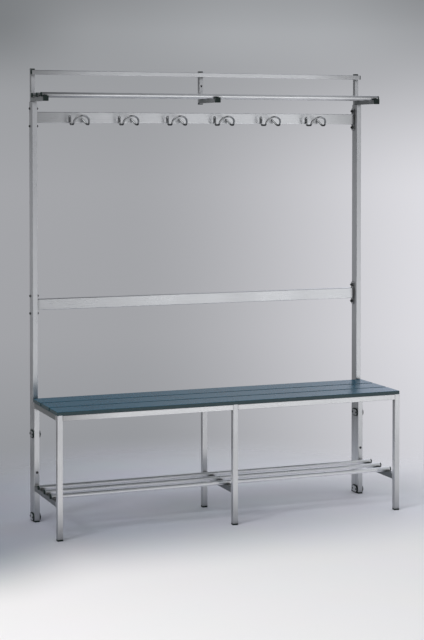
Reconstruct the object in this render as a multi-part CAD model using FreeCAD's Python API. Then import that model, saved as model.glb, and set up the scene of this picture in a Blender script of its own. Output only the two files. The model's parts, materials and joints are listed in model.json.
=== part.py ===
import FreeCAD, Part
import math
import os

from FreeCAD import Vector

# A changing room bench with a coat rack, in millimetres.
# X runs along the bench, Y from its front to its back, and Z up from the floor.

# Overall sizes
bench_length = 1330.0
rack_height = 1650.0
seat_height = 450.0
seat_depth = 325.0

# Tube of the bench frame and of the two tall uprights
post_width = 20.0
upright_depth = 40.0
seat_rail_height = 20.0
tube_wall = 1.5
tube_corner = 2.0

# Seat boards and the screws that hold them from below
board_count = 3
board_thickness = 13.0
board_gap = 10.0
board_back_gap = 5.0
board_edge_radius = 2.0
board_screw_diameter = 4.0
board_screw_bite = 9.0
board_screw_head_diameter = 8.0
board_screw_head_height = 2.6

# Feet, and the plugs that hold caps and feet in their tubes
foot_height = 6.0
foot_edge_radius = 1.0
foot_plug_length = 8.0
plug_length = 12.0
plug_clearance = 0.2

# Round tube of the shoe rack and the hat shelf
round_tube_diameter = 16.0
round_tube_wall = 1.5
round_plug_head = 5.0
round_plug_edge_radius = 1.0
saddle_depth = 3.0
saddle_clearance = 0.2

# Shoe rack
shoe_rack_height = 115.0
shoe_bar_height = 20.0
shoe_tube_count = 3
shoe_tube_pitch = 80.0

# Back rail and hook rail, measured to the middle of the rail, the hook rail down from the uprights' top
back_rail_height = 789.0
hook_rail_drop = 56.5
rail_height = 40.0
rail_depth = 20.0
end_plate_thickness = 3.0
end_plate_margin = 11.0
end_plate_corner = 3.0

# Bolts through the uprights into the rails' end plates
rail_bolt_gap = 12.0
rail_bolt_diameter = 6.0
rail_bolt_head_diameter = 9.0
rail_bolt_head_height = 3.5
rail_bolt_head_edge = 1.0
nut_sides = 6
cap_nut_width = 10.0
cap_nut_height = 5.0
cap_nut_dome_diameter = 8.0
bolt_clearance = 0.2

# Bent wire hooks, each with a straight end on the left and a slanting end on the right
hook_count = 6
hook_end_gap = 154.5
hook_pitch = 190.5
hook_wire = 7.0
hook_spread = 58.0
hook_hole_rise = 4.0
hook_drop = 29.0
hook_reach = 40.0
hook_standoff = 5.0
hook_bend = 9.0
hook_arch_straight = 4.0
hook_stub = 10.0
hook_lean_degrees = 34.0
hook_tail_reach = 24.0
hook_tail_inset = 12.0
hook_tail_drop = 9.5
hook_clearance = 0.2

# Hat shelf, measured down from the top of the rack
shelf_drop = 121.0
slip_clearance = 0.5
slim_insert = 110.0
slim_cap = 4.0
top_rail_drop = 2.0
top_rail_plug_head = 3.0
arm_height = 18.0
arm_end_margin = 9.0
arm_cap_head = 13.0
arm_cap_overlap = 0.75
shelf_tube_count = 3
shelf_tube_pitch = 63.0
shelf_tube_back_gap = 31.0
wall_hole_drop = 56.0
wall_hole_diameter = 9.0

# Tie plates between each rear leg and its upright
tie_height = 320.0
tie_plate_height = 28.0
tie_block_thickness = 4.0
tie_face_thickness = 1.0
tie_face_margin = 3.0
tie_end_margin = 8.0
tie_screw_diameter = 4.0
tie_screw_bite = 5.0
tie_screw_head_diameter = 8.0
tie_screw_head_height = 1.5
tie_foot_gap = 1.0

# Bolt from each outer rear leg into its upright
leg_bolt_height = 182.0
leg_bolt_diameter = 5.0
leg_bolt_head_diameter = 9.0
leg_bolt_head_height = 2.5
leg_bolt_bite = 8.0

# Length that every cut runs past the solid
cut_overrun = 1.0

# Directions and sides
along_x = Vector(1, 0, 0)
along_y = Vector(0, 1, 0)
along_z = Vector(0, 0, 1)
ends = {"left": -1, "right": 1}
posts = {"left": -1, "centre": 0, "right": 1}

# Places along the bench
half_length = bench_length / 2
post_centre = half_length - post_width / 2
half_post = post_width / 2

# Places from front to back, with zero half way through the depth
front_face = -(seat_depth + upright_depth) / 2
seam = front_face + seat_depth
rear_leg_front = seam - post_width
upright_rear = seam + upright_depth
slim_size = post_width - 2 * tube_wall - 2 * slip_clearance
slim_rear = upright_rear - tube_wall - slip_clearance
slim_front = slim_rear - slim_size
bolt_line = slim_rear - slim_size / 2
rail_front = bolt_line - rail_depth / 2
rail_rear = bolt_line + rail_depth / 2

# Heights
board_underside = seat_height - board_thickness
slim_top = rack_height - slim_cap
upright_top = rack_height - shelf_drop
arm_top = upright_top + arm_height
hook_rail_height = upright_top - hook_rail_drop

# Solids between two corners, and tubes made from them


def block(low, high):
    size = high - low
    return Part.makeBox(size.x, size.y, size.z, low)


def edges_along(solid, axis):
    lines = [edge for edge in solid.Edges if edge.Curve.TypeId == "Part::GeomLine"]
    return [edge for edge in lines if edge.Curve.Direction.cross(axis).Length < edge.Tolerance]


def rounded_block(low, high, axis, radius):
    solid = block(low, high)
    return solid.makeFillet(radius, edges_along(solid, axis))


def rectangular_tube(low, high, axis):
    inset = Vector(tube_wall, tube_wall, tube_wall) - axis * (tube_wall + cut_overrun)
    bore = block(low + inset, high - inset)
    return rounded_block(low, high, axis, tube_corner).cut(bore)


def rod(start, axis, radius, length):
    return Part.makeCylinder(radius, length, start, axis)


def drill(middle, axis, diameter, length):
    deep = length + 2 * cut_overrun
    return rod(middle - axis * (deep / 2), axis, diameter / 2 + bolt_clearance, deep)


def row_names(count):
    inner = ["middle"] if count == len(posts) else ["row_" + str(row) for row in range(1, count - 1)]
    return ["front"] + inner + ["rear"]


def save(name, solids):
    Part.makeCompound(solids).exportStep("parts/" + name + ".step")


# Plug of a rectangular tube: a head as large as the tube's outside, and an insert inside it


def tube_plug(low, high, outward, head, insert, proud):
    sideways = Vector(1 - abs(outward.x), 1 - abs(outward.y), 1 - abs(outward.z))
    mouth = (low + high) / 2
    outline = (high - low) / 2 + sideways * proud
    core = (high - low) / 2 - sideways * (tube_wall + plug_clearance)
    cap = rounded_block(*corners_of(mouth, mouth + outward * head, outline), outward, tube_corner)
    return cap.fuse(block(*corners_of(mouth - outward * insert, mouth, core))).removeSplitter()


def corners_of(first, second, half_size):
    low = Vector(*(min(pair) for pair in zip(first, second)))
    high = Vector(*(max(pair) for pair in zip(first, second)))
    return low - half_size, high + half_size


# Legs, with holes where the tie plates and the bolts go into the outer rear ones


def leg(side, front):
    middle = side * post_centre
    low = Vector(middle - half_post, front, foot_height)
    high = Vector(middle + half_post, front + post_width, board_underside)
    return rectangular_tube(low, high, along_z)


def tie_heights():
    low = foot_height + foot_plug_length + tie_screw_diameter / 2 + tie_foot_gap
    return [low, tie_height]


def tie_screw_lines():
    return [seam - half_post, seam + upright_depth / 2]


leg_line, upright_line = tie_screw_lines()


def with_tie_holes(tube, side, line):
    for height in tie_heights():
        middle = Vector(side * post_centre, line, height)
        tube = tube.cut(drill(middle, along_x, tie_screw_diameter, post_width))
    return tube


def leg_bolt_hole(side):
    middle = Vector(side * post_centre, seam, leg_bolt_height)
    return drill(middle, along_y, leg_bolt_diameter, 2 * post_width)


def make_legs():
    for name, side in posts.items():
        save("front_leg_" + name, [leg(side, front_face)])
        rear = leg(side, rear_leg_front)
        if name in ends:
            rear = with_tie_holes(rear, side, leg_line).cut(leg_bolt_hole(side))
        save("rear_leg_" + name, [rear])


# Seat rails between the legs, and cross bars under the boards


def make_seat_frame():
    underside = board_underside - seat_rail_height
    for row, front in {"front": front_face, "rear": rear_leg_front}.items():
        for name, side in ends.items():
            inner = side * half_post
            outer = side * (half_length - post_width)
            low = Vector(min(inner, outer), front, underside)
            high = Vector(max(inner, outer), front + post_width, board_underside)
            save(row + "_seat_rail_" + name, [rectangular_tube(low, high, along_x)])
    for name, side in posts.items():
        bar = cross_bar(side, underside, seat_rail_height)
        for line in board_lines():
            middle = Vector(side * post_centre, line, board_underside - seat_rail_height / 2)
            bar = bar.cut(drill(middle, along_z, board_screw_diameter, seat_rail_height))
        save("seat_cross_bar_" + name, [bar])


def cross_bar(side, underside, height):
    middle = side * post_centre
    low = Vector(middle - half_post, front_face + post_width, underside)
    high = Vector(middle + half_post, rear_leg_front, underside + height)
    return rectangular_tube(low, high, along_y)


# Seat boards, side by side with a gap, each screwed to the three cross bars

board_span = seat_depth - board_back_gap - (board_count - 1) * board_gap
board_width = board_span / board_count


def board_lines():
    return [front_face + board_width / 2 + row * (board_width + board_gap) for row in range(board_count)]


def seat_board(line):
    low = Vector(-half_length, line - board_width / 2, board_underside)
    high = Vector(half_length, line + board_width / 2, seat_height)
    board = rounded_block(low, high, along_z, board_edge_radius)
    top = [face for face in board.Faces if face.CenterOfMass.z > seat_height - board_edge_radius]
    board = board.makeFillet(board_edge_radius, top[0].Edges)
    for side in posts.values():
        middle = Vector(side * post_centre, line, board_underside)
        board = board.cut(drill(middle, along_z, board_screw_diameter, 2 * board_screw_bite))
    return board


def board_screw(side, line):
    seat = Vector(side * post_centre, line, board_underside - seat_rail_height)
    shank = rod(seat, along_z, board_screw_diameter / 2, seat_rail_height + board_screw_bite)
    head_seat = seat - along_z * board_screw_head_height
    return shank.fuse(rod(head_seat, along_z, board_screw_head_diameter / 2, board_screw_head_height))


def make_seat():
    for row, line in zip(row_names(board_count), board_lines()):
        save("seat_board_" + row, [seat_board(line)])
    save("seat_board_screws", [board_screw(side, line) for side in posts.values() for line in board_lines()])


# Round tubes across three bars, lying in saddles cut into the bars' tops

round_radius = round_tube_diameter / 2
round_half = half_length


def tube_height(bar_top):
    return bar_top + round_radius - saddle_depth


def round_tube(line, height):
    start = Vector(-round_half, line, height)
    bore_start = start - along_x * cut_overrun
    bore = rod(bore_start, along_x, round_radius - round_tube_wall, 2 * round_half + 2 * cut_overrun)
    return rod(start, along_x, round_radius, 2 * round_half).cut(bore)


def round_plug(side, line, height):
    outward = along_x * side
    tube_end = Vector(side * round_half, line, height)
    head = rod(tube_end, outward, round_radius, round_plug_head)
    rim = [edge for edge in head.Edges if abs(edge.CenterOfMass.x) > round_half + round_plug_head / 2]
    head = head.makeFillet(round_plug_edge_radius, [edge for edge in rim if edge.Closed])
    core_radius = round_radius - round_tube_wall - plug_clearance
    return head.fuse(rod(tube_end, outward * -1, core_radius, plug_length))


def with_saddles(bar, side, lines, bar_top):
    for line in lines:
        start = Vector(side * post_centre - post_width, line, tube_height(bar_top))
        bar = bar.cut(rod(start, along_x, round_radius + saddle_clearance, 2 * post_width))
    return bar


def make_rack(name, lines, bar_top):
    height = tube_height(bar_top)
    for row, line in zip(row_names(len(lines)), lines):
        save(name + "_tube_" + row, [round_tube(line, height)])
    plugs = [round_plug(side, line, height) for side in ends.values() for line in lines]
    save(name + "_tube_plugs", plugs)


# Shoe rack, half way between the front legs and the rear legs


def shoe_tube_lines():
    middle = (front_face + post_width + rear_leg_front) / 2
    first = middle - (shoe_tube_count - 1) * shoe_tube_pitch / 2
    return [first + row * shoe_tube_pitch for row in range(shoe_tube_count)]


def make_shoe_rack():
    bar_top = shoe_rack_height + shoe_bar_height
    for name, side in posts.items():
        bar = cross_bar(side, shoe_rack_height, shoe_bar_height)
        save("shoe_rack_bar_" + name, [with_saddles(bar, side, shoe_tube_lines(), bar_top)])
    make_rack("shoe_rack", shoe_tube_lines(), bar_top)


# Tall uprights behind the outer rear legs

bolt_offset = rail_height / 2 + rail_bolt_gap


def rail_bolt_heights(rail_middle):
    return [rail_middle - bolt_offset, rail_middle + bolt_offset]


def with_rail_bolt_holes(solid, side, rail_middle):
    for height in rail_bolt_heights(rail_middle):
        middle = Vector(side * (half_length - post_width), bolt_line, height)
        solid = solid.cut(drill(middle, along_x, rail_bolt_diameter, 2 * post_width))
    return solid


def upright(side):
    middle = side * post_centre
    low = Vector(middle - half_post, seam, foot_height)
    high = Vector(middle + half_post, upright_rear, upright_top)
    tube = rectangular_tube(low, high, along_z)
    tube = with_tie_holes(tube, side, upright_line).cut(leg_bolt_hole(side))
    for rail_middle in (back_rail_height, hook_rail_height):
        tube = with_rail_bolt_holes(tube, side, rail_middle)
    return tube


def make_uprights():
    for name, side in ends.items():
        save("upright_" + name, [upright(side)])


# Feet: a head under the tube and a plug inside it


def foot(side, front, rear):
    middle = side * post_centre
    low = Vector(middle - half_post, front, foot_height)
    high = Vector(middle + half_post, rear, foot_height)
    solid = tube_plug(low, high, along_z * -1, foot_height, foot_plug_length, 0)
    sole = [face for face in solid.Faces if face.BoundBox.ZMax < foot_edge_radius]
    return solid.makeFillet(foot_edge_radius, sole[0].Edges)


def make_feet():
    fronts = (front_face, rear_leg_front)
    legs = [foot(side, front, front + post_width) for front in fronts for side in posts.values()]
    save("leg_feet", legs)
    save("upright_feet", [foot(side, seam, upright_rear) for side in ends.values()])


# Tie plates: an oblong block and a smaller metal face, on both sides of a leg and its upright

tie_length = upright_line - leg_line + 2 * tie_end_margin
tie_middle = (leg_line + upright_line) / 2


def oblong(seat, outward, length, height, thickness):
    half_run = along_y * ((length - height) / 2)
    half_rise = along_z * (height / 2)
    nose = along_y * (height / 2)
    rear_top = seat + half_run + half_rise
    rear_foot = seat + half_run - half_rise
    front_top = seat - half_run + half_rise
    front_foot = seat - half_run - half_rise
    outline = [
        Part.LineSegment(front_top, rear_top),
        Part.Arc(rear_top, seat + half_run + nose, rear_foot),
        Part.LineSegment(rear_foot, front_foot),
        Part.Arc(front_foot, seat - half_run - nose, front_top),
    ]
    face = Part.Face(Part.Wire([edge.toShape() for edge in outline]))
    return face.extrude(outward * thickness)


def tie_places():
    for side in ends.values():
        for outer in (1, -1):
            for height in tie_heights():
                x = side * (post_centre + outer * half_post)
                yield Vector(x, tie_middle, height), along_x * (side * outer)


def with_screw_holes(plate, seat, outward):
    reach = tie_block_thickness + tie_face_thickness
    for line in tie_screw_lines():
        middle = Vector(seat.x, line, seat.z) + outward * (reach / 2)
        plate = plate.cut(drill(middle, outward, tie_screw_diameter, reach))
    return plate


def tie_screw(seat, outward, line):
    top = Vector(seat.x, line, seat.z) + outward * (tie_block_thickness + tie_face_thickness)
    grip = tie_block_thickness + tie_face_thickness + tube_wall + tie_screw_bite
    shank = rod(top, outward * -1, tie_screw_diameter / 2, grip)
    return shank.fuse(rod(top, outward, tie_screw_head_diameter / 2, tie_screw_head_height))


def make_ties():
    blocks = []
    faces = []
    screws = []
    for seat, outward in tie_places():
        plate = oblong(seat, outward, tie_length, tie_plate_height, tie_block_thickness)
        blocks.append(with_screw_holes(plate, seat, outward))
        face_seat = seat + outward * tie_block_thickness
        face_length = tie_length - 2 * tie_face_margin
        face_height = tie_plate_height - 2 * tie_face_margin
        plate = oblong(face_seat, outward, face_length, face_height, tie_face_thickness)
        faces.append(with_screw_holes(plate, seat, outward))
        screws += [tie_screw(seat, outward, line) for line in tie_screw_lines()]
    save("tie_blocks", blocks)
    save("tie_faces", faces)
    save("tie_screws", screws)


def leg_bolt(side):
    seat = Vector(side * post_centre, rear_leg_front, leg_bolt_height)
    grip = post_width + tube_wall + leg_bolt_bite
    shank = rod(seat, along_y, leg_bolt_diameter / 2, grip)
    return shank.fuse(rod(seat, along_y * -1, leg_bolt_head_diameter / 2, leg_bolt_head_height))


# Back rail and hook rail, their end plates, bolts and cap nuts

plate_inner = half_length - post_width - end_plate_thickness


def rail(rail_middle):
    low = Vector(-plate_inner, rail_front, rail_middle - rail_height / 2)
    high = Vector(plate_inner, rail_rear, rail_middle + rail_height / 2)
    return rectangular_tube(low, high, along_x)


def end_plate(side, rail_middle):
    plate_outer = plate_inner + end_plate_thickness
    half_plate = bolt_offset + end_plate_margin
    low = Vector(min(side * plate_inner, side * plate_outer), rail_front, rail_middle - half_plate)
    high = Vector(max(side * plate_inner, side * plate_outer), rail_rear, rail_middle + half_plate)
    plate = rounded_block(low, high, along_x, end_plate_corner)
    return with_rail_bolt_holes(plate, side, rail_middle)


def rail_bolt(side, height):
    inward = along_x * -side
    seat = Vector(side * half_length, bolt_line, height)
    grip = post_width + end_plate_thickness + cap_nut_height
    shank = rod(seat, inward, rail_bolt_diameter / 2, grip)
    head = rod(seat, inward * -1, rail_bolt_head_diameter / 2, rail_bolt_head_height)
    reach = half_length + rail_bolt_head_height / 2
    rim = [edge for edge in head.Edges if edge.Closed and abs(edge.CenterOfMass.x) > reach]
    return shank.fuse(head.makeFillet(rail_bolt_head_edge, rim))


def cap_nut(side, height):
    inward = along_x * -side
    seat = Vector(side * plate_inner, bolt_line, height)
    corner_radius = cap_nut_width / math.sqrt(3)
    turns = [2 * math.pi * step / nut_sides for step in range(nut_sides + 1)]
    rim = [seat + along_y * corner_radius * math.cos(turn) + along_z * corner_radius * math.sin(turn)
           for turn in turns]
    hexagon = Part.Face(Part.makePolygon(rim)).extrude(inward * cap_nut_height)
    top = seat + inward * cap_nut_height
    dome = Part.makeSphere(cap_nut_dome_diameter / 2, top, inward, 0)
    bore = rod(seat, inward, rail_bolt_diameter / 2 + bolt_clearance, cap_nut_height)
    return hexagon.fuse(dome).cut(bore)


def make_rails():
    rails = {"back_rail": back_rail_height, "hook_rail": hook_rail_height}
    for name, rail_middle in rails.items():
        tube = rail(rail_middle)
        if name == "hook_rail":
            tube = with_hook_holes(tube)
        save(name, [tube])
        save(name + "_end_plates", [end_plate(side, rail_middle) for side in ends.values()])
    heights = [height for rail_middle in rails.values() for height in rail_bolt_heights(rail_middle)]
    save("rail_bolts", [rail_bolt(side, height) for side in ends.values() for height in heights])
    save("rail_nuts", [cap_nut(side, height) for side in ends.values() for height in heights])


# Double hooks, each one bent from a single wire with both ends in the rail

hook_hole_height = hook_rail_height + hook_hole_rise


def hook_lines():
    first = hook_end_gap - plate_inner
    return [first + place * hook_pitch for place in range(hook_count)]


def hook_holes(line):
    straight_end = Vector(line - hook_spread / 2, rail_front, hook_hole_height)
    slanting_end = straight_end + along_x * (hook_spread - hook_tail_inset) - along_z * hook_tail_drop
    return straight_end, slanting_end


def with_hook_holes(tube):
    for line in hook_lines():
        for middle in hook_holes(line):
            radius = hook_wire / 2 + hook_clearance
            tube = tube.cut(rod(middle - along_y * tube_wall, along_y, radius, 2 * tube_wall + cut_overrun))
    return tube


def bent_wire(corners, radii, diameter):
    edges = []
    start = corners[0]
    for before, corner, after, radius in zip(corners, corners[1:], corners[2:], radii):
        incoming = (corner - before).normalize()
        outgoing = (after - corner).normalize()
        half_turn = incoming.getAngle(outgoing) / 2
        inward = (outgoing - incoming).normalize()
        arc_start = corner - incoming * (radius * math.tan(half_turn))
        arc_middle = corner + inward * (radius / math.cos(half_turn) - radius)
        arc_end = corner + outgoing * (radius * math.tan(half_turn))
        if not start.isEqual(arc_start, hook_clearance):
            edges.append(Part.LineSegment(start, arc_start).toShape())
        edges.append(Part.Arc(arc_start, arc_middle, arc_end).toShape())
        start = arc_end
    edges.append(Part.LineSegment(start, corners[-1]).toShape())
    section = Part.Circle(corners[0], corners[1] - corners[0], diameter / 2).toShape()
    return Part.Wire(edges).makePipeShell([Part.Wire(section)], True, False)


def hook(line):
    lean = math.radians(hook_lean_degrees)
    arch_radius = hook_spread / 2
    foot_run = hook_bend * math.tan((math.pi / 2 - lean) / 2)
    arch = Vector(0, -math.sin(lean), math.cos(lean)) * (foot_run + hook_arch_straight + arch_radius)
    straight_hole, slanting_hole = hook_holes(line)
    leg_top = straight_hole - along_y * hook_standoff
    leg_foot = leg_top - along_z * hook_drop
    left_foot = leg_foot - along_y * hook_reach
    right_foot = left_foot + along_x * hook_spread
    tail_foot = right_foot + along_y * (hook_reach + hook_standoff - hook_tail_reach)
    tail_top = slanting_hole - along_y * hook_standoff
    corners = [straight_hole + along_y * hook_stub, leg_top, leg_foot, left_foot, left_foot + arch]
    corners += [right_foot + arch, right_foot, tail_foot, tail_top, slanting_hole + along_y * hook_stub]
    radii = [hook_standoff, hook_bend, hook_bend, arch_radius]
    return bent_wire(corners, radii + radii[::-1], hook_wire)


def make_hooks():
    for number, line in enumerate(hook_lines(), 1):
        save("hook_" + str(number), [hook(line)])


# Hat shelf: slim uprights, top rail, arms and round tubes


def slim_foot(name):
    return upright_top - slim_insert if name in ends else upright_top


def slim_upright(name, side):
    middle = side * post_centre
    low = Vector(middle - slim_size / 2, slim_front, slim_foot(name))
    high = Vector(middle + slim_size / 2, slim_rear, slim_top)
    tube = rectangular_tube(low, high, along_z)
    if name in ends:
        return with_rail_bolt_holes(tube, side, hook_rail_height)
    hole_start = Vector(middle, slim_front - cut_overrun, rack_height - wall_hole_drop)
    return tube.cut(rod(hole_start, along_y, wall_hole_diameter / 2, slim_size + 2 * cut_overrun))


def slim_cap_at(side, height, outward):
    middle = side * post_centre
    low = Vector(middle - slim_size / 2, slim_front, height)
    high = Vector(middle + slim_size / 2, slim_rear, height)
    return tube_plug(low, high, outward, slim_cap, plug_length, 0)


def top_rail():
    half_tube = half_length - top_rail_plug_head
    low = Vector(-half_tube, slim_front - slim_size, slim_top - top_rail_drop - slim_size)
    high = Vector(half_tube, slim_front, slim_top - top_rail_drop)
    plugs = []
    for side in ends.values():
        face_low = Vector(side * half_tube, low.y, low.z)
        face_high = Vector(side * half_tube, high.y, high.z)
        plugs.append(tube_plug(face_low, face_high, along_x * side, top_rail_plug_head, plug_length, 0))
    return rectangular_tube(low, high, along_x), plugs


def shelf_tube_lines():
    rear = slim_front - shelf_tube_back_gap
    return [rear - row * shelf_tube_pitch for row in reversed(range(shelf_tube_count))]


def arm_tip():
    return shelf_tube_lines()[0] - arm_end_margin


def shelf_arm(side):
    middle = side * post_centre
    low = Vector(middle - slim_size / 2, arm_tip(), upright_top)
    high = Vector(middle + slim_size / 2, slim_front, arm_top)
    return with_saddles(rectangular_tube(low, high, along_y), side, shelf_tube_lines(), arm_top)


def arm_cap(side):
    middle = side * post_centre
    low = Vector(middle - slim_size / 2, arm_tip(), upright_top)
    high = Vector(middle + slim_size / 2, arm_tip(), arm_top)
    return tube_plug(low, high, along_y * -1, arm_cap_head, arm_end_margin / 2, arm_cap_overlap)


def make_shelf():
    for name, side in posts.items():
        save("shelf_upright_" + name, [slim_upright(name, side)])
        save("shelf_arm_" + name, [shelf_arm(side)])
    caps = [slim_cap_at(side, slim_top, along_z) for side in posts.values()]
    caps.append(slim_cap_at(posts["centre"], upright_top, along_z * -1))
    save("shelf_upright_caps", caps)
    save("shelf_arm_caps", [arm_cap(side) for side in posts.values()])
    tube, plugs = top_rail()
    save("top_rail", [tube])
    save("top_rail_plugs", plugs)
    make_rack("shelf", shelf_tube_lines(), arm_top)


os.makedirs("parts", exist_ok=True)
make_legs()
make_seat_frame()
make_seat()
make_shoe_rack()
make_uprights()
make_feet()
make_ties()
save("leg_to_upright_bolts", [leg_bolt(side) for side in ends.values()])
make_rails()
make_hooks()
make_shelf()
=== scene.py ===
# %% [markdown]
# # A coat rack bench for a changing room
# The bench is a welded frame of satin steel tube with three blue laminate boards to sit on, a rack of
# round tubes for shoes, two tall uprights with a back rail and a hook rail, and a hat shelf on top.
# Its solids come ready made, in metres, with the floor at zero height, X along the bench and Y from
# its front to its back. This lesson gives them their finishes and adds what a solid model leaves out.

# %% Load the solids
import json
import math

import bmesh
import bpy
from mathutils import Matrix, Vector

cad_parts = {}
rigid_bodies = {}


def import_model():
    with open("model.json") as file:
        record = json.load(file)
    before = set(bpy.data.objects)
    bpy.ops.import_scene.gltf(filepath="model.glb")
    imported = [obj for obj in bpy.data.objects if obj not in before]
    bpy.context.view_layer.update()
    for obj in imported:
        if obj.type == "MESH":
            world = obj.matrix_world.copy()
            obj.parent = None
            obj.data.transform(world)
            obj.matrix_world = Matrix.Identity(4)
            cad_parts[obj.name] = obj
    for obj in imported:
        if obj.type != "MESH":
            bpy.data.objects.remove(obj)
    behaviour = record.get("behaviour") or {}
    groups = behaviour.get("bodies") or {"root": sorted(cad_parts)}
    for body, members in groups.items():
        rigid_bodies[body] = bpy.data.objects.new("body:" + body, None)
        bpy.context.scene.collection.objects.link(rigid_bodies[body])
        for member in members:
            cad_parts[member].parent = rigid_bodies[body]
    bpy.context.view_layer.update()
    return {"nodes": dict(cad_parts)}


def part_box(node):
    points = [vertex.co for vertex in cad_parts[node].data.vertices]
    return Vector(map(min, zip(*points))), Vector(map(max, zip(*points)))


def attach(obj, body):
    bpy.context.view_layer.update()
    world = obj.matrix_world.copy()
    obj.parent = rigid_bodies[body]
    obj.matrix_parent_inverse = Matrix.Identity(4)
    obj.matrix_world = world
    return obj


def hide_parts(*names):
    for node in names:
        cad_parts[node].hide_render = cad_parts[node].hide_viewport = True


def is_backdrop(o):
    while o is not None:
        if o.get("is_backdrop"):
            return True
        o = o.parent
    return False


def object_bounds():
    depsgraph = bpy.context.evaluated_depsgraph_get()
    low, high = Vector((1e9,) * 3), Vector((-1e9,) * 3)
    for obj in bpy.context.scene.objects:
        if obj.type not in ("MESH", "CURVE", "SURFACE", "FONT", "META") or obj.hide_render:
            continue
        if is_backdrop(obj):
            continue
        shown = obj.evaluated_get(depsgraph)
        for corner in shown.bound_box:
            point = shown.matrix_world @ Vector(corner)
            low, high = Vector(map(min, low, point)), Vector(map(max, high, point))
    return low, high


for leftover in list(bpy.data.objects):
    bpy.data.objects.remove(leftover)
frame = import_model()
solids = frame["nodes"]
scene = bpy.context.scene
scene.view_settings.view_transform = "Standard"

# %% [markdown]
# ## Camera
# The bench is seen from in front and from its left, from just below the height of the hooks. A short lens
# close by would make the near end look much larger than the far end, so this is a long lens, far away.
# It looks down by a degree and a half only and the rest of the framing is lens shift, as on a studio
# camera, so that the posts stay upright.

# %% Place the camera
image_height = 640
focal_pixels = 1607.9
camera_place = Vector((-2.1876, -5.5226, 1.3763))
camera_turn = math.radians(21.429)
camera_tilt = math.radians(1.5)
camera_shift = -0.2095

lens = bpy.data.cameras.new("studio_camera")
lens.sensor_width = 36.0
lens.lens = focal_pixels * lens.sensor_width / image_height
lens.shift_y = camera_shift
lens.clip_end = 200.0
camera = bpy.data.objects.new("studio_camera", lens)
camera.location = camera_place
camera.rotation_euler = (math.pi / 2 - camera_tilt, 0.0, -camera_turn)
scene.collection.objects.link(camera)
scene.camera = camera
print("lens of", round(lens.lens, 1), "mm")

# %% [markdown]
# ## Studio
# Steel shows what stands around it, so the room matters as much as the lamps. The front faces of the
# tubes look back to a bright wall and a bright floor in front, and their left faces look to a dark end
# of the room, which is why every tube has a light and a dark side. The room could be built from walls,
# but a world that is brighter in some directions does the same and shows no edges.

# %% Helpers that write node trees


def add_node(tree, kind, inputs=None, **settings):
    node = tree.nodes.new(kind)
    for name, value in settings.items():
        setattr(node, name, value)
    for name, value in (inputs or {}).items():
        if isinstance(value, bpy.types.NodeSocket):
            tree.links.new(value, node.inputs[name])
        else:
            node.inputs[name].default_value = value
    return node


def calculate(tree, operation, *values):
    return add_node(tree, "ShaderNodeMath", dict(enumerate(values)), operation=operation).outputs["Value"]


def spread(tree, value, first, last, low=0.0, high=1.0, curve="LINEAR"):
    return add_node(tree, "ShaderNodeMapRange", {
        "Value": value, "From Min": first, "From Max": last, "To Min": low, "To Max": high},
        interpolation_type=curve).outputs["Result"]


def blend(tree, share, first, second, mode="MIX"):
    return add_node(tree, "ShaderNodeMixRGB", {"Fac": share, "Color1": first, "Color2": second},
                    blend_type=mode).outputs["Color"]


def shades(tree, share, stops):
    node = add_node(tree, "ShaderNodeValToRGB", {"Fac": share})
    ramp = node.color_ramp
    while len(ramp.elements) < len(stops):
        ramp.elements.new(0.5)
    for element, (place, colour) in zip(ramp.elements, stops):
        element.position = place
        element.color = (*colour, 1.0)
    return node.outputs["Color"]


# %% Measure directions in the room
world = bpy.data.worlds.new("studio_room")
scene.world = world
world.use_nodes = True
room = world.node_tree
room.nodes.clear()
direction = add_node(room, "ShaderNodeTexCoord").outputs["Generated"]
toward = add_node(room, "ShaderNodeSeparateXYZ", {"Vector": direction}).outputs
azimuth = calculate(room, "DEGREES", calculate(room, "ARCTAN2", toward["X"], toward["Y"]))
elevation = calculate(room, "DEGREES", calculate(room, "ARCSINE", toward["Z"]))
print("azimuth 0 is behind the bench and 90 is off its right end")

# %% Paint the paper behind the bench
paper_bottom, paper_top = -20.0, 20.0
paper_tones = [
    (0.00, (0.30, 0.31, 0.33)),
    (0.20, (0.28, 0.29, 0.31)),
    (0.33, (0.36, 0.365, 0.385)),
    (0.46, (0.37, 0.375, 0.395)),
    (0.60, (0.31, 0.32, 0.335)),
    (0.72, (0.09, 0.095, 0.10)),
    (1.00, (0.07, 0.073, 0.08)),
]
# A patch has its way of mixing, its colour, and its edges: a measure, where it begins and where it is full.
paper_patches = {
    "bright_end": ("ADD", (0.40, 0.39, 0.41), (azimuth, 18, 32), (azimuth, 100, 70), (elevation, 5, -2)),
    "glow": ("ADD", (0.07, 0.072, 0.075), (azimuth, 16, 23), (azimuth, 30, 25), (elevation, 2, 4)),
    "dim_corner": ("MIX", (0.20, 0.21, 0.22), (azimuth, 17.5, 13.5), (azimuth, 5, 12),
                   (elevation, 1.5, 4.5)),
}


def paint(wall, mode, colour, *edges):
    share = 1.0
    for measure, begins, full in edges:
        share = calculate(room, "MULTIPLY", share, spread(room, measure, begins, full, curve="SMOOTHSTEP"))
    return blend(room, share, wall, (*colour, 1.0), mode)


wall = shades(room, spread(room, elevation, paper_bottom, paper_top), paper_tones)
for patch in paper_patches.values():
    wall = paint(wall, *patch)
print("paper with", ", ".join(paper_patches))

# %% [markdown]
# Seen directly, the room is the paper behind the bench and a plain pale wall on the other sides. The
# steel mirrors more than that: lamps, the window and dark corners, which a photographer sets up for the
# shine of the tubes. They are painted for reflected rays alone, so the wall stays plain from any side.

# %% Paint what the steel mirrors
plain_tone = (0.62, 0.625, 0.635, 1.0)
soft_light = (0.72, 0.72, 0.73, 1.0)
away = 0.0
for measure, begins, full in ((azimuth, 36, 60), (azimuth, 6, -20), (elevation, -25, -45)):
    away = calculate(room, "MAXIMUM", away, spread(room, measure, begins, full, curve="SMOOTHSTEP"))
plain_wall = blend(room, away, wall, plain_tone)

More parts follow.
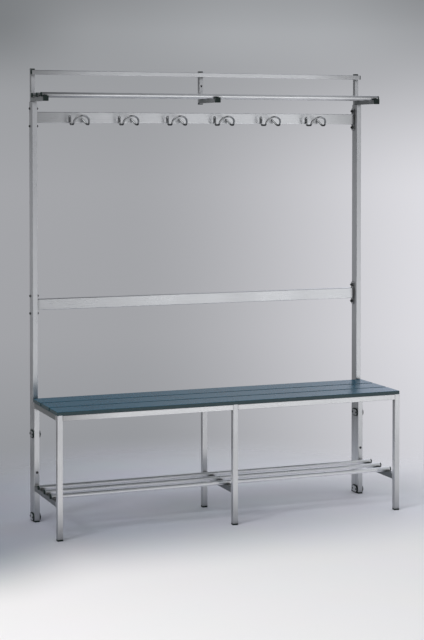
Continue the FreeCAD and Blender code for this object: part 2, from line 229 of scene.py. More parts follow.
mirrored_patches = {
    "dark_end": ("MIX", (0.03, 0.033, 0.034), (azimuth, -6, -24), (azimuth, -180, -176),
                 (elevation, -1.2, 2.4)),
    "left_shade": ("MULTIPLY", (0.55, 0.55, 0.54), (azimuth, 4, -14), (azimuth, -180, -176),
                   (elevation, -4, -9)),
    "window": ("ADD", (1.36, 1.44, 1.78), (azimuth, 23.2, 32.3), (azimuth, 80, 50), (elevation, 5, 11),
               (elevation, 40, 24)),
    "front_wall": ("ADD", (0.60, 0.60, 0.61), (azimuth, 164.6, 160.2), (azimuth, 144, 156),
                   (elevation, 12, 0)),
    "front_floor": ("ADD", (0.92, 0.92, 0.92), (azimuth, 165.6, 161.8), (azimuth, 112, 148),
                    (elevation, -3, -9.5)),
    "ceiling": ("ADD", (0.42, 0.43, 0.45), (toward["X"], 0.26, 0.38), (elevation, 6, 16)),
    "loft": ("ADD", (2.10, 2.12, 2.15), (azimuth, -175, -145), (azimuth, -60, -85), (elevation, 9, 24)),
}
for patch in mirrored_patches.values():
    wall = paint(wall, *patch)

rays = add_node(room, "ShaderNodeLightPath").outputs
mirrored = calculate(room, "MAXIMUM", rays["Is Glossy Ray"], rays["Is Transmission Ray"])
lit_room = blend(room, mirrored, soft_light, wall)
room_colour = blend(room, rays["Is Camera Ray"], lit_room, plain_wall)
backdrop = add_node(room, "ShaderNodeBackground", {"Color": room_colour, "Strength": 1.0})
add_node(room, "ShaderNodeOutputWorld", {"Surface": backdrop.outputs["Background"]})
print("room of", len(room.nodes), "nodes, with", ", ".join(mirrored_patches))

# %% [markdown]
# ## Lamps
# Two softboxes hang to the left in front of the bench, a small one and, higher up, a large one. They could
# be bright patches of the room, but a lamp near by gives the legs soft shadows on the floor. The steel
# has the room to mirror, so the lamps are hidden from reflections.

# %% Hang the lamps


def softbox(name, place, target, size, power):
    lamp = bpy.data.lights.new(name, "AREA")
    lamp.shape = "DISK"
    lamp.size = size
    lamp.energy = power
    box = bpy.data.objects.new(name, lamp)
    box.location = place
    box.rotation_euler = (Vector(target) - Vector(place)).to_track_quat("-Z", "Y").to_euler()
    box.visible_glossy = False
    scene.collection.objects.link(box)
    print(name, "of", power, "watts")


softbox("key_softbox", place=(-3.9, -1.9, 3.1), target=(0.0, 0.0, 0.4), size=1.0, power=50.0)
softbox("overhead_softbox", place=(-2.6, -2.6, 4.4), target=(-0.2, -0.4, 0.0), size=2.6, power=70.0)

# %% [markdown]
# ## Floor
# The studio floor is a pale paper sweep: white in front, with painted shade that makes it bluish and
# darker where it runs under and behind the bench, above all at the left end, and painted light towards
# the right end. A curved sheet could be modelled, but one flat sheet is enough: its colour follows its
# depth and length, and behind the bench and far out it fades into the room, so that no edge shows.

# %% Make the paper


def new_finish(name):
    finish = bpy.data.materials.new(name)
    finish.use_nodes = True
    finish.node_tree.nodes.clear()
    return finish, finish.node_tree


def paper_sweep():
    near_tones = [(0.26, (0.81, 0.80, 0.80)), (1.0, (0.74, 0.745, 0.755))]
    # Painted shade under and behind the bench, darkest towards the left end, and painted light towards the
    # right end.
    far_light_and_shade_tones = [(0.0, (0.66, 0.67, 0.69)), (0.16, (0.245, 0.26, 0.305)), (0.26, (0.245, 0.26, 0.305)),
                 (0.63, (0.47, 0.49, 0.55)), (1.0, (0.75, 0.765, 0.825))]
    left_edge, right_edge = -1.6, 1.1
    front_edge, back_edge = -0.75, -0.05
    shade_begins, shade_full, shade_depth = -0.62, -1.0, 0.16
    fade_centre = (0.0, 0.2, 0.0)
    beside_fade, behind_fade, rim_fade = (0.45, 1.5), (-0.2, 0.9), (1.95, 3.2)
    fibre_share = 0.06

    finish, tree = new_finish("paper_sweep")
    place = add_node(tree, "ShaderNodeTexCoord").outputs["Object"]
    spot = add_node(tree, "ShaderNodeSeparateXYZ", {"Vector": place}).outputs
    # Painted shadow: at the left end the dark part reaches further forward.
    painted_left_shadow = spread(tree, spot["X"], shade_begins, shade_full, high=shade_depth, curve="SMOOTHSTEP")
    shaded = calculate(tree, "ADD", spot["Y"], painted_left_shadow)
    depth = spread(tree, shaded, front_edge, back_edge, curve="SMOOTHSTEP")
    length = spread(tree, spot["X"], left_edge, right_edge)
    paper = blend(tree, depth, shades(tree, length, near_tones), shades(tree, length, far_light_and_shade_tones))
    fibre = add_node(tree, "ShaderNodeTexNoise", {"Vector": place, "Scale": 3.0, "Detail": 4.0})
    tone = blend(tree, fibre_share, paper, fibre.outputs["Color"], "OVERLAY")
    face = add_node(tree, "ShaderNodeBsdfPrincipled", {"Base Color": tone, "Roughness": 0.8})

    apart = add_node(tree, "ShaderNodeVectorMath", {0: place, 1: fade_centre}, operation="DISTANCE")
    distance = apart.outputs["Value"]
    beside = spread(tree, distance, *beside_fade, curve="SMOOTHSTEP")
    behind = spread(tree, spot["Y"], *behind_fade, curve="SMOOTHSTEP")
    rim = spread(tree, distance, *rim_fade, curve="SMOOTHSTEP")
    fade = calculate(tree, "MAXIMUM", calculate(tree, "MULTIPLY", beside, behind), rim)
    clear = add_node(tree, "ShaderNodeBsdfTransparent")
    sheet = add_node(tree, "ShaderNodeMixShader", {
        0: fade, 1: face.outputs["BSDF"], 2: clear.outputs["BSDF"]})
    add_node(tree, "ShaderNodeOutputMaterial", {"Surface": sheet.outputs["Shader"]})
    return finish


paper_finish = paper_sweep()
print("paper of", len(paper_finish.node_tree.nodes), "nodes")

# %% Lay the floor
floor_reach = 14.0
floor_corners = [(-1, -1), (1, -1), (1, 1), (-1, 1)]
floor_mesh = bpy.data.meshes.new("floor")
floor_mesh.from_pydata([(across * floor_reach, along * floor_reach, 0) for across, along in floor_corners],
                       [], [(0, 1, 2, 3)])
floor_mesh.materials.append(paper_finish)
floor = bpy.data.objects.new("floor", floor_mesh)
scene.collection.objects.link(floor)
floor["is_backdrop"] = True
print("floor of", 2 * floor_reach, "metres square")

# %% [markdown]
# ## Satin steel
# The tubes are brushed along their length. A photograph of brushed steel could be wrapped round them,
# but noise that is stretched along the tube gives the same fine lines at any distance, with no seams.
# It drives the colour, the roughness and a shallow bump, and a slow second noise keeps long faces from
# looking printed. Shade is painted into the colour as well: the steel darkens in narrow corners, which
# the ambient occlusion node finds, near the floor and, on some rails, towards the ends.

# %% Make a steel finish
fine_lines, long_lines = 900.0, 7.0
plain_tones = ((0.59, 0.60, 0.61), (0.78, 0.785, 0.795))
# Painted shade: the dark tone mixed into the steel in narrow corners, near the floor and towards the ends of
# some rails.
painted_shade_tone = (0.045, 0.047, 0.046, 1.0)
shaded_below, unshaded_above, corner_samples = 0.35, 0.90, 6
noise_low, noise_high = 0.6, 1.4
floor_shade_height, floor_shade_share = 0.13, 0.60
end_shade_begins, end_shade_full = 0.44, 0.645


def close_finish(tree, surface):
    add_node(tree, "ShaderNodeOutputMaterial", {"Surface": surface.outputs["BSDF"]})


def noise(tree, place, scale, detail, **settings):
    return add_node(tree, "ShaderNodeTexNoise", {
        "Vector": place, "Scale": scale, "Detail": detail, **settings}).outputs["Fac"]


def bump(tree, height, strength, distance):
    return add_node(tree, "ShaderNodeBump", {
        "Height": height, "Strength": strength, "Distance": distance}).outputs["Normal"]


def satin_steel(name, brushed, tones=plain_tones, corner_shade_reach=0.018, end_shade_share=1.0):
    dark, light = tones
    finish, tree = new_finish(name)
    place = add_node(tree, "ShaderNodeTexCoord").outputs["Object"]
    stretch = [long_lines if axis == brushed else fine_lines for axis in "XYZ"]
    stretched = add_node(tree, "ShaderNodeMapping", {"Vector": place, "Scale": stretch}).outputs["Vector"]
    lines = noise(tree, stretched, scale=1.0, detail=3.0, Roughness=0.6)
    mixed = calculate(tree, "ADD", lines, noise(tree, place, scale=9.0, detail=2.0))
    bright = shades(tree, spread(tree, mixed, noise_low, noise_high), [(0.0, dark), (1.0, light)])

    # Painted shade in narrow corners, found by ambient occlusion.
    corner = add_node(tree, "ShaderNodeAmbientOcclusion", {"Distance": corner_shade_reach}, samples=corner_samples)
    unshaded_by_corner = spread(tree, corner.outputs["AO"], shaded_below, unshaded_above)
    spot = add_node(tree, "ShaderNodeSeparateXYZ", {"Vector": place}).outputs
    # Painted shade near the floor.
    unshaded_by_floor = spread(tree, spot["Z"], 0.0, floor_shade_height, low=floor_shade_share)
    half = calculate(tree, "ABSOLUTE", spot["X"])
    # Painted shade towards the ends of a rail.
    ends = spread(tree, half, end_shade_begins, end_shade_full, low=1.0, high=end_shade_share)
    unshaded_share = calculate(tree, "MULTIPLY", unshaded_by_corner, calculate(tree, "MULTIPLY", unshaded_by_floor, ends))

    around = add_node(tree, "ShaderNodeTangent", direction_type="RADIAL", axis=brushed)
    surface = add_node(tree, "ShaderNodeBsdfPrincipled", {
        "Base Color": blend(tree, unshaded_share, painted_shade_tone, bright), "Metallic": 1.0,
        "Roughness": spread(tree, mixed, noise_low, noise_high, 0.24, 0.40), "Anisotropic": 0.7,
        "Tangent": around.outputs["Tangent"], "Normal": bump(tree, lines, strength=0.25, distance=0.0002)})
    close_finish(tree, surface)
    return finish


# %% [markdown]
# One finish for each way of brushing would do. But equal tubes look unlike each other in a room: the bars
# that run from front to back look into its dark end, and the shoe rack's bars into the shade below the
# seat, while the seat rail and the shoe rack's tubes catch the white floor. That light and shade is
# painted into tones of their own, and on some rails painted shade darkens the ends. On the hook rail the
# painted corner shade reaches a millimetre out of a corner only.

# %% Make the steel finishes
# Painted light and shade: darker tones for bars in the dark end and the shade below the seat, lighter ones
# for the seat rails and round tubes that face the white floor.
bar_tones = ((0.30, 0.315, 0.315), (0.42, 0.436, 0.436))
low_bar_tones = ((0.15, 0.163, 0.167), (0.215, 0.231, 0.235))
round_tones = ((0.88, 0.885, 0.89), (0.98, 0.982, 0.985))
left_seat_tones = ((0.72, 0.725, 0.73), (0.94, 0.945, 0.95))
right_seat_tones = ((0.655, 0.66, 0.665), (0.86, 0.865, 0.87))
steel = {
    "x": satin_steel("satin_steel_along_x", "X"),
    "y": satin_steel("satin_steel_along_y", "Y", bar_tones),
    "z": satin_steel("satin_steel_along_z", "Z"),
    "hook_rail": satin_steel("satin_steel_hook_rail", "X", corner_shade_reach=0.001, end_shade_share=0.62),
    "upper": satin_steel("satin_steel_upper_rails", "X", end_shade_share=0.55),
    "right_seat": satin_steel("satin_steel_seat_rail", "X", right_seat_tones),
    "left_seat": satin_steel("satin_steel_seat_rail_end", "X", left_seat_tones, end_shade_share=0.60),
    "low": satin_steel("satin_steel_low_bars", "Y", low_bar_tones),
    "round": satin_steel("satin_steel_round", "X", round_tones),
}
print("steel for", ", ".join(steel))

# %% [markdown]
# ## Seat laminate
# The boards are compact laminate, slate blue on the face, with a fine pressed grain that breaks up the
# shine, and a darker core that shows at the edges. A picture of the grain would show where it repeats,
# so it is a cell pattern of about a millimetre in the bump. A slow noise shifts the blue a little along
# the board. What looks up is blue, and all that doesn't shows the core.

# %% Make the laminate


def seat_laminate():
    face_tones = [(0.3, (0.011, 0.066, 0.112)), (0.7, (0.015, 0.082, 0.134))]
    core_tone = (0.009, 0.032, 0.039, 1.0)
    face_up, edge_up = 0.75, 0.45

    finish, tree = new_finish("slate_blue_laminate")
    place = add_node(tree, "ShaderNodeTexCoord").outputs["Object"]
    grain = add_node(tree, "ShaderNodeTexVoronoi", {"Vector": place, "Scale": 900.0}).outputs["Distance"]
    cloud = noise(tree, place, scale=14.0, detail=4.0)
    normal = add_node(tree, "ShaderNodeNewGeometry").outputs["Normal"]
    up = add_node(tree, "ShaderNodeSeparateXYZ", {"Vector": normal}).outputs["Z"]
    edge = spread(tree, up, face_up, edge_up)
    surface = add_node(tree, "ShaderNodeBsdfPrincipled", {
        "Base Color": blend(tree, edge, shades(tree, cloud, face_tones), core_tone),
        "Roughness": spread(tree, cloud, 0.0, 1.0, 0.22, 0.34),
        "Normal": bump(tree, grain, strength=0.15, distance=0.0002)})
    close_finish(tree, surface)
    return finish


laminate = seat_laminate()
print("laminate of", len(laminate.node_tree.nodes), "nodes")

# %% [markdown]
# ## Wire, plastic and screws
# The hooks are bright drawn wire, darker at their feet. The plugs, caps, feet and tie blocks are
# moulded black plastic, the tie faces are pressed steel, and the screws and bolts are blackened. A plain
# colour would do at this size, but a little noise in colour, roughness and bump keeps them from looking
# like paint in a close view.

# %% Make the wire


def drawn_wire():
    bright_tones = [(0.3, (0.29, 0.295, 0.30)), (0.7, (0.37, 0.375, 0.38))]
    # The wire is darker from its foot up to a few millimetres above it.
    foot_tone = (0.07, 0.074, 0.076, 1.0)
    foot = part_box("hook_1")[0].z
    dark_foot_top, bright_from = foot + 0.005, foot + 0.011

    finish, tree = new_finish("drawn_wire")
    place = add_node(tree, "ShaderNodeTexCoord").outputs["Object"]
    grain = noise(tree, place, scale=60.0, detail=4.0)
    height = add_node(tree, "ShaderNodeSeparateXYZ", {"Vector": place}).outputs["Z"]
    above_foot = spread(tree, height, dark_foot_top, bright_from)
    surface = add_node(tree, "ShaderNodeBsdfPrincipled", {
        "Base Color": blend(tree, above_foot, foot_tone, shades(tree, grain, bright_tones)), "Metallic": 1.0,
        "Roughness": spread(tree, grain, 0.0, 1.0, 0.10, 0.22),
        "Normal": bump(tree, grain, strength=0.2, distance=0.0001)})
    close_finish(tree, surface)
    return finish


wire = drawn_wire()
print("wire of", len(wire.node_tree.nodes), "nodes")

# %% Make the small finishes


def small_finish(name, dark, light, roughness, metallic, scale, depth, gloss=0.5):
    finish, tree = new_finish(name)
    place = add_node(tree, "ShaderNodeTexCoord").outputs["Object"]
    grain = noise(tree, place, scale, detail=4.0)
    surface = add_node(tree, "ShaderNodeBsdfPrincipled", {
        "Base Color": shades(tree, grain, [(0.3, dark), (0.7, light)]), "Metallic": metallic,
        "Roughness": spread(tree, grain, 0.0, 1.0, *roughness), "Specular IOR Level": gloss,
        "Normal": bump(tree, grain, strength=0.2, distance=depth)})
    close_finish(tree, surface)
    print(name, "of", len(tree.nodes), "nodes")
    return finish


plastic = small_finish("moulded_black_plastic", dark=(0.006, 0.012, 0.011), light=(0.010, 0.018, 0.016),
                       roughness=(0.38, 0.55), metallic=0.0, scale=700.0, depth=0.0002, gloss=0.2)
pressed = small_finish("pressed_steel", dark=(0.45, 0.46, 0.46), light=(0.58, 0.59, 0.60),
                       roughness=(0.25, 0.42), metallic=1.0, scale=160.0, depth=0.0001)
blackened = small_finish("blackened_steel", dark=(0.020, 0.022, 0.023), light=(0.045, 0.047, 0.050),
                         roughness=(0.30, 0.45), metallic=0.7, scale=300.0, depth=0.0001)
weld_steel = small_finish("weld_steel", dark=(0.36, 0.365, 0.37), light=(0.54, 0.545, 0.55),
                          roughness=(0.26, 0.42), metallic=1.0, scale=500.0, depth=0.0001)

# %% [markdown]
# ## Which solid gets which finish
# Each solid could be named with its finish, but that is a long list. Solids of one kind have names that
# start alike, so a finish is given to the start of a name. Where more than one start fits, the longest
# counts: the plugs of the shoe rack's tubes are plastic, not steel.

# %% Give each solid its finish
finished_starts = [
    (steel["z"], ["front_leg_", "rear_leg_", "upright_", "shelf_upright_", "back_rail_end_plates",
                  "hook_rail_end_plates"]),
    (steel["x"], ["rear_seat_rail_", "back_rail"]),
    (steel["left_seat"], ["front_seat_rail_left"]),
    (steel["right_seat"], ["front_seat_rail_right"]),
    (steel["hook_rail"], ["hook_rail"]),
    (steel["upper"], ["top_rail", "shelf_tube_"]),
    (steel["y"], ["seat_cross_bar_", "shelf_arm_"]),
    (steel["low"], ["shoe_rack_bar_"]),
    (steel["round"], ["shoe_rack_tube_"]),
    (laminate, ["seat_board_"]),
    (wire, ["hook_"]),
    (pressed, ["tie_faces"]),
    (plastic, ["tie_blocks", "leg_feet", "upright_feet", "shoe_rack_tube_plugs", "shelf_tube_plugs",
               "top_rail_plugs", "shelf_arm_caps", "shelf_upright_caps"]),
    (blackened, ["seat_board_screws", "tie_screws", "leg_to_upright_bolts", "rail_bolts", "rail_nuts"]),
]
finish_of = {start: finish for finish, starts in finished_starts for start in starts}
for name, solid in solids.items():
    longest_start = max((start for start in finish_of if name.startswith(start)), key=len)
    solid.material_slots[0].material = finish_of[longest_start]
print("finished", len(solids), "solids")

# %% [markdown]
# ## Screw heads
# Button-head bolts with a hexagon socket hold the rails and the outer legs to the uprights, and pan-head
# screws with a cross recess hold the tie plates and, from below, the boards. Their solids have plain
# heads. The socket could be cut out of those, but each screw is turned here ring by ring, as on a lathe:
# the rings of the socket follow a hexagon or a cross, the others a circle, and all have the same number
# of points, so that they join in quads.

# %% Draw the rings
ring_points = 48
least_sine = 0.01


def circle(radius):
    return lambda angle: radius


def hexagon(half_width):
    sixth = math.pi / 3
    return lambda angle: half_width / math.cos((angle + sixth / 2) % sixth - sixth / 2)


def cross(arm, half_width):
    quarter = math.pi / 2

    def reach(angle):
        off_arm = abs((angle + quarter / 2) % quarter - quarter / 2)
        return min(arm / math.cos(off_arm), half_width / max(math.sin(off_arm), least_sine))
    return reach


def turned(name, rings):
    shape = bmesh.new()
    turns = [2 * math.pi * step / ring_points for step in range(ring_points)]
    rows = [[shape.verts.new((reach(turn) * math.cos(turn), reach(turn) * math.sin(turn), height))
             for turn in turns] for height, reach in rings]
    for upper, lower in zip(rows, rows[1:]):
        for step in range(ring_points):
            after = (step + 1) % ring_points
            shape.faces.new((upper[step], upper[after], lower[after], lower[step]))
    shape.faces.new(rows[0])
    shape.faces.new(rows[-1])
    bmesh.ops.recalc_face_normals(shape, faces=shape.faces)
    mesh = bpy.data.meshes.new(name)
    shape.to_mesh(mesh)
    shape.free()
    print(name, "has", len(mesh.polygons), "faces")
    return mesh


# %% Turn the screws


def button_bolt(name, height, shank_radius, grip):
    socket_floor, socket_root, socket_mouth = 0.0009, 0.0017, 0.0020
    crown_radius, dome_radius, shoulder_radius, head_radius = 0.0027, 0.0034, 0.0041, 0.0045
    dome_drop, shoulder_drop = 0.0003, 0.0010
    rim_top, rim_chamfer, tip_chamfer = 0.0008, 0.0002, 0.0006
    return turned(name, [
        (socket_floor, hexagon(socket_root)), (height - dome_drop, hexagon(socket_mouth)),
        (height, circle(crown_radius)), (height - dome_drop, circle(dome_radius)),
        (height - shoulder_drop, circle(shoulder_radius)), (rim_top, circle(head_radius)),
        (rim_chamfer, circle(head_radius)), (0.0, circle(head_radius - rim_chamfer)),
        (0.0, circle(shank_radius)), (tip_chamfer - grip, circle(shank_radius)),
        (-grip, circle(shank_radius - tip_chamfer))])


def pan_screw(name, height, shank_radius, grip):
    floor_share, mouth_share = 0.25, 0.9
    floor_arm, floor_half, mouth_arm, mouth_half = 0.0010, 0.0004, 0.0022, 0.0005
    dome = [(1.0, 0.0026), (0.94, 0.0032), (0.7, 0.0038), (0.3, 0.0040), (0.0, 0.0039)]
    tip_length, tip_radius = 0.002, 0.0006
    return turned(name, [
        (height * floor_share, cross(floor_arm, floor_half)),
        (height * mouth_share, cross(mouth_arm, mouth_half)),
        *((height * share, circle(radius)) for share, radius in dome),
        (0.0, circle(shank_radius)), (tip_length - grip, circle(shank_radius)), (-grip, circle(tip_radius))])


screw_shapes = {
    "rail_bolt": button_bolt("rail_bolt", height=0.0035, shank_radius=0.0030, grip=0.028),
    "leg_bolt": button_bolt("leg_bolt", height=0.0025, shank_radius=0.0025, grip=0.0295),
    "tie_screw": pan_screw("tie_screw", height=0.0015, shank_radius=0.0020, grip=0.0115),
    "board_screw": pan_screw("board_screw", height=0.0026, shank_radius=0.0020, grip=0.029),
}

# %% [markdown]
# ## A tree that drives the screws
# Copies of one screw could be placed by a loop, but a Geometry Nodes tree keeps the places and the
# screw apart: it puts the screw on each point of a mesh, turns it along that point's axis, and spins it
# by a random angle with a fixed seed, because nobody lines up the slots. The result is made real, gets
# its finish and is read back as one plain mesh, so that nothing depends on the tree afterwards.

# %% Helpers that build and run a tree


def new_tree(name, **inputs):
    tree = bpy.data.node_groups.new(name, "GeometryNodeTree")
    tree.interface.new_socket("Geometry", in_out="OUTPUT", socket_type="NodeSocketGeometry")
    tree.interface.new_socket("Geometry", in_out="INPUT", socket_type="NodeSocketGeometry")
    for words, kind in inputs.items():
        tree.interface.new_socket(words, in_out="INPUT", socket_type=kind)
    return tree, tree.nodes.new("NodeGroupInput").outputs


def close_tree(tree, geometry, finish):
    real = add_node(tree, "GeometryNodeRealizeInstances", {"Geometry": geometry})
    dressed = add_node(tree, "GeometryNodeSetMaterial", {
        "Geometry": real.outputs["Geometry"], "Material": finish})
    add_node(tree, "NodeGroupOutput", {"Geometry": dressed.outputs["Geometry"]})
    print(tree.name, "is a tree of", len(tree.nodes), "nodes")


def grow(name, seeds, tree, slot, stands_for, **values):
    holder = bpy.data.objects.new(name + "_places", seeds)
    scene.collection.objects.link(holder)
    modifier = holder.modifiers.new(name, "NODES")
    modifier.node_group = tree
    for socket in tree.interface.items_tree:
        if socket.in_out == "INPUT" and socket.name in values:
            modifier[socket.identifier] = values[socket.name]
    grown = holder.evaluated_get(bpy.context.evaluated_depsgraph_get())
    mesh = bpy.data.meshes.new_from_object(grown)
    mesh.name = name
    bpy.data.objects.remove(holder)
    piece = bpy.data.objects.new(name, mesh)
    scene.collection.objects.link(piece)
    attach(piece, "root")
    if stands_for:
        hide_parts(*stands_for)
    print(name, "has", len(mesh.polygons), "faces")


# %% Build the screw tree
screw_tree, given = new_tree("screws_on_points", screw="NodeSocketObject", finish="NodeSocketMaterial",
                             seed="NodeSocketInt")
axis = add_node(screw_tree, "GeometryNodeInputNamedAttribute", {"Name": "axis"}, data_type="FLOAT_VECTOR")
along = add_node(screw_tree, "FunctionNodeAlignRotationToVector", {"Vector": axis.outputs["Attribute"]},
                 axis="Z")
turn = add_node(screw_tree, "FunctionNodeRandomValue", {"Seed": given["seed"]}, data_type="FLOAT")
spin = add_node(screw_tree, "FunctionNodeAxisAngleToRotation", {
    "Axis": (0, 0, 1), "Angle": calculate(screw_tree, "MULTIPLY", turn.outputs[1], 2 * math.pi)})
spun = add_node(screw_tree, "FunctionNodeRotateRotation", {
    "Rotation": along.outputs["Rotation"], "Rotate By": spin.outputs["Rotation"]}, rotation_space="LOCAL")
one_screw = add_node(screw_tree, "GeometryNodeObjectInfo", {"Object": given["screw"]})
placed = add_node(screw_tree, "GeometryNodeInstanceOnPoints", {
    "Points": given["Geometry"], "Instance": one_screw.outputs["Geometry"],
    "Rotation": spun.outputs["Rotation"]})
close_tree(screw_tree, placed.outputs["Instances"], given["finish"])

# %% [markdown]
# ## Where the screws go
# The places could be typed in, but they follow from the solids that the screws hold: the rails' bolts sit
# above and below each rail on the outer face of the uprights, two screws sit in each tie plate, one in
# the leg and one in the upright, and each board has one screw in each cross bar.

# %% Find the places


def middle(node):
    low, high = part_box(node)
    return (low + high) / 2


post_places = ("left", "centre", "right")
row_places = ("front", "middle", "rear")
rails = ("back_rail", "hook_rail")
sides = (-1, 1)
rail_bolt_gap, tie_half_height = 0.012, 0.011
rightward, forward, downward = Vector((1, 0, 0)), Vector((0, -1, 0)), Vector((0, 0, -1))

post_lines = [middle("front_leg_" + place).x for place in post_places]
board_lines = [middle("seat_board_" + row).y for row in row_places]
outer_post = post_lines[-1]
upright_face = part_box("upright_right")[1].x
rear_leg_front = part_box("rear_leg_left")[0].y
leg_bolt_height = middle("leg_to_upright_bolts").z
cross_bar_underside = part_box("seat_cross_bar_left")[0].z
rail_bolt_heights = [height for rail in rails for height in (
    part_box(rail)[0].z - rail_bolt_gap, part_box(rail)[1].z + rail_bolt_gap)]
tie_low, tie_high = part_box("tie_faces")
tie_reach = tie_high.x - outer_post
tie_depths = (middle("rear_leg_left").y, middle("upright_left").y)
tie_heights = (tie_low.z + tie_half_height, tie_high.z - tie_half_height)

screw_places = {
    "rail_bolts": ("rail_bolt", [
        ((side * upright_face, middle("back_rail").y, height), rightward * side)
        for side in sides for height in rail_bolt_heights]),
    "leg_to_upright_bolts": ("leg_bolt", [
        ((side * outer_post, rear_leg_front, leg_bolt_height), forward) for side in sides]),
    "tie_screws": ("tie_screw", [
        ((side * (outer_post + tie_reach * face), depth, height), rightward * side * face)
        for side in sides for face in sides for depth in tie_depths for height in tie_heights]),
    "seat_board_screws": ("board_screw", [
        ((line, depth, cross_bar_underside), downward) for line in post_lines for depth in board_lines]),
}
print({node: len(places) for node, (_, places) in screw_places.items()})

# %% Drive the screws


def point_mesh(name, places):
    mesh = bpy.data.meshes.new(name)
    mesh.from_pydata([place for place, _ in places], [], [])
    axes = mesh.attributes.new("axis", "FLOAT_VECTOR", "POINT")
    axes.data.foreach_set("vector", [number for _, axis in places for number in axis])
    return mesh


for seed, (node, (shape_name, places)) in enumerate(screw_places.items()):
    one = bpy.data.objects.new(shape_name, screw_shapes[shape_name])
    scene.collection.objects.link(one)
    grow("turned_" + node, point_mesh(node, places), screw_tree, "black_screws", [node],
         screw=one, finish=blackened, seed=seed)
    bpy.data.objects.remove(one)

# %% [markdown]
# ## Weld beads
# The frame is welded, and a weld is a small rippled bead in the corner where two tubes meet. A bead
# could be carved into a bump, but from the side it would be flat. Here each joint is an open line or a
# closed loop of edges. The tree turns these into curves, cuts them into short steps, lets the radius
# swell and shrink along the length with a little seeded noise, and sweeps a ring along them.

# %% Build the weld tree
base_share, swell_share, rough_share = 0.75, 0.16, 0.5
rough_scale, bead_sides = 260.0, 8
weld_tree, given = new_tree("weld_beads", ripple="NodeSocketFloat", step="NodeSocketFloat",
                            finish="NodeSocketMaterial", seed="NodeSocketFloat")
bead_line = add_node(weld_tree, "GeometryNodeMeshToCurve", {"Mesh": given["Geometry"]})
fine_line = add_node(weld_tree, "GeometryNodeResampleCurve", {
    "Curve": bead_line.outputs["Curve"], "Length": given["step"]}, mode="LENGTH")
gone = add_node(weld_tree, "GeometryNodeSplineParameter").outputs["Length"]
wave = calculate(weld_tree, "MULTIPLY", calculate(weld_tree, "DIVIDE", gone, given["ripple"]), 2 * math.pi)
swell = calculate(weld_tree, "SINE", wave)
rough = add_node(weld_tree, "ShaderNodeTexNoise", {"Scale": rough_scale, "W": given["seed"]},
                 noise_dimensions="4D")
uneven = calculate(weld_tree, "MULTIPLY", rough.outputs["Fac"], rough_share)
rippled = calculate(weld_tree, "MULTIPLY_ADD", swell, swell_share, uneven)
share = calculate(weld_tree, "ADD", rippled, base_share)
bead = add_node(weld_tree, "GeometryNodeInputNamedAttribute", {"Name": "bead"}, data_type="FLOAT")
radius = calculate(weld_tree, "MULTIPLY", bead.outputs["Attribute"], share)
ring_line = add_node(weld_tree, "GeometryNodeCurvePrimitiveCircle", {
    "Resolution": bead_sides, "Radius": 1.0})
swept = add_node(weld_tree, "GeometryNodeCurveToMesh", {
    "Curve": fine_line.outputs["Curve"], "Profile Curve": ring_line.outputs["Curve"],
    "Scale": radius, "Fill Caps": True})
smooth = add_node(weld_tree, "GeometryNodeSetShadeSmooth", {"Geometry": swept.outputs["Mesh"]})
close_tree(weld_tree, smooth.outputs["Geometry"], given["finish"])

# %% [markdown]
# ## Where the beads go
# Beads run round the ends of the seat's cross bars and the shoe rack's bars, under the ends of the seat
# rails, where the top rail and the shelf arms meet the slim uprights, at the rails' end plates, beside
# each round tube in its saddle and round each wire. The lines could be typed in, but taken from the boxes
# of the solids they follow when a size changes. They stop a little short of faces that are ground flush.

# %% List the joints of the bench
frame_bead, tube_bead, wire_bead = 0.0013, 0.0010, 0.0008
bead_lift, board_gap, flush_gap = 0.0002, 0.0025, 0.0015
joints = []


def joint(bead, points, closed=False):
    joints.append((bead, points, closed))


leg_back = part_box("front_leg_left")[1].y
rail_low, rail_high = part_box("front_seat_rail_left")
seat_low, seat_high = rail_low.z + bead_lift, rail_high.z - board_gap
seat_front, seat_back = rail_low.y + flush_gap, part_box("rear_seat_rail_left")[1].y - flush_gap
for place in post_places:
    low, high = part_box("shoe_rack_bar_" + place)
    for depth in (leg_back, rear_leg_front):
        joint(frame_bead, [(low.x, depth, seat_high), (low.x, depth, seat_low), (high.x, depth, seat_low),
                           (high.x, depth, seat_high)])
        joint(frame_bead, [(low.x, depth, low.z), (high.x, depth, low.z), (high.x, depth, high.z),
                           (low.x, depth, high.z)], closed=True)
for rail in ("front_seat_rail_left", "front_seat_rail_right"):
    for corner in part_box(rail):
        joint(frame_bead, [(corner.x, leg_back, seat_low), (corner.x, seat_front, seat_low)])
        joint(frame_bead, [(corner.x, rear_leg_front, seat_low), (corner.x, seat_back, seat_low)])
print(len(joints), "joints of the bench")

# %% List the joints of the rack
edge_gap, plate_gap = 0.001, 0.002
top_low, top_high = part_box("top_rail")
arm_low, arm_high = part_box("shelf_arm_centre")
for place in post_places:
    low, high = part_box("shelf_upright_" + place)
    joint(frame_bead, [(low.x, low.y, top_high.z - edge_gap), (low.x, low.y, top_low.z),
                       (high.x, low.y, top_low.z), (high.x, low.y, top_high.z - edge_gap)])
    joint(frame_bead, [(low.x + edge_gap, low.y, arm_high.z), (high.x - edge_gap, low.y, arm_high.z)])
joint(frame_bead, [(arm_low.x + edge_gap, arm_high.y, arm_low.z),
                   (arm_high.x - edge_gap, arm_high.y, arm_low.z)])

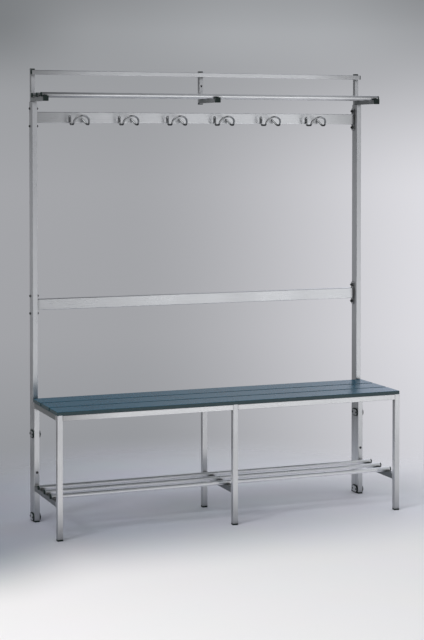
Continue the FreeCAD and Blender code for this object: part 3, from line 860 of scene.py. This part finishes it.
for side in sides:
    for rail in rails:
        low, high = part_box(rail)
        for height in (low.z, high.z):
            joint(frame_bead, [(side * high.x, low.y + plate_gap, height),
                               (side * high.x, high.y - plate_gap, height)])
print(len(joints), "joints of the bench and the rack")

# %% List the joints of the round tubes and wires
tube_half_chord = 0.0062
for bar, tube in (("shoe_rack_bar_", "shoe_rack_tube_"), ("shelf_arm_", "shelf_tube_")):
    for place in post_places:
        low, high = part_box(bar + place)
        for row in row_places:
            line = middle(tube + row).y
            for edge in (line - tube_half_chord, line + tube_half_chord):
                joint(tube_bead, [(low.x, edge, high.z), (high.x, edge, high.z)])

hook_count, hook_half, hole_rise = 6, 0.029, 0.004
tail_inset, tail_drop = 0.012, 0.0095
wire_ring, wire_steps = 0.0041, 24
rail_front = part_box("hook_rail")[0].y
stem_height = middle("hook_rail").z + hole_rise
wire_turns = [2 * math.pi * step / wire_steps for step in range(wire_steps)]
for number in range(1, hook_count + 1):
    line = middle("hook_%d" % number).x
    for across, height in ((line - hook_half, stem_height),
                           (line + hook_half - tail_inset, stem_height - tail_drop)):
        ring = [(across + wire_ring * math.cos(turn), rail_front, height + wire_ring * math.sin(turn))
                for turn in wire_turns]
        joint(wire_bead, ring, closed=True)
print(len(joints), "welded joints")

# %% Lay the beads
weld_points, weld_edges, bead_sizes = [], [], []
for bead_size, points, closed in joints:
    first = len(weld_points)
    weld_points += points
    bead_sizes += [bead_size] * len(points)
    weld_edges += [(first + step, first + step + 1) for step in range(len(points) - 1)]
    if closed:
        weld_edges.append((first + len(points) - 1, first))
weld_lines = bpy.data.meshes.new("weld_lines")
weld_lines.from_pydata(weld_points, weld_edges, [])
weld_lines.attributes.new("bead", "FLOAT", "POINT").data.foreach_set("value", bead_sizes)
grow("weld_beads", weld_lines, weld_tree, "frame_tube", [],
     ripple=0.0022, step=0.00055, finish=weld_steel, seed=3.0)

# %% [markdown]
# The dressed bench may not be larger than its solids. The size of the dressed bench could be judged by
# eye, but a bead that stands out by a millimetre hardly shows, so the box round it is measured and
# printed.

# %% Measure the dressed bench
low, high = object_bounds()
print("dressed, from", tuple(low), "to", tuple(high))
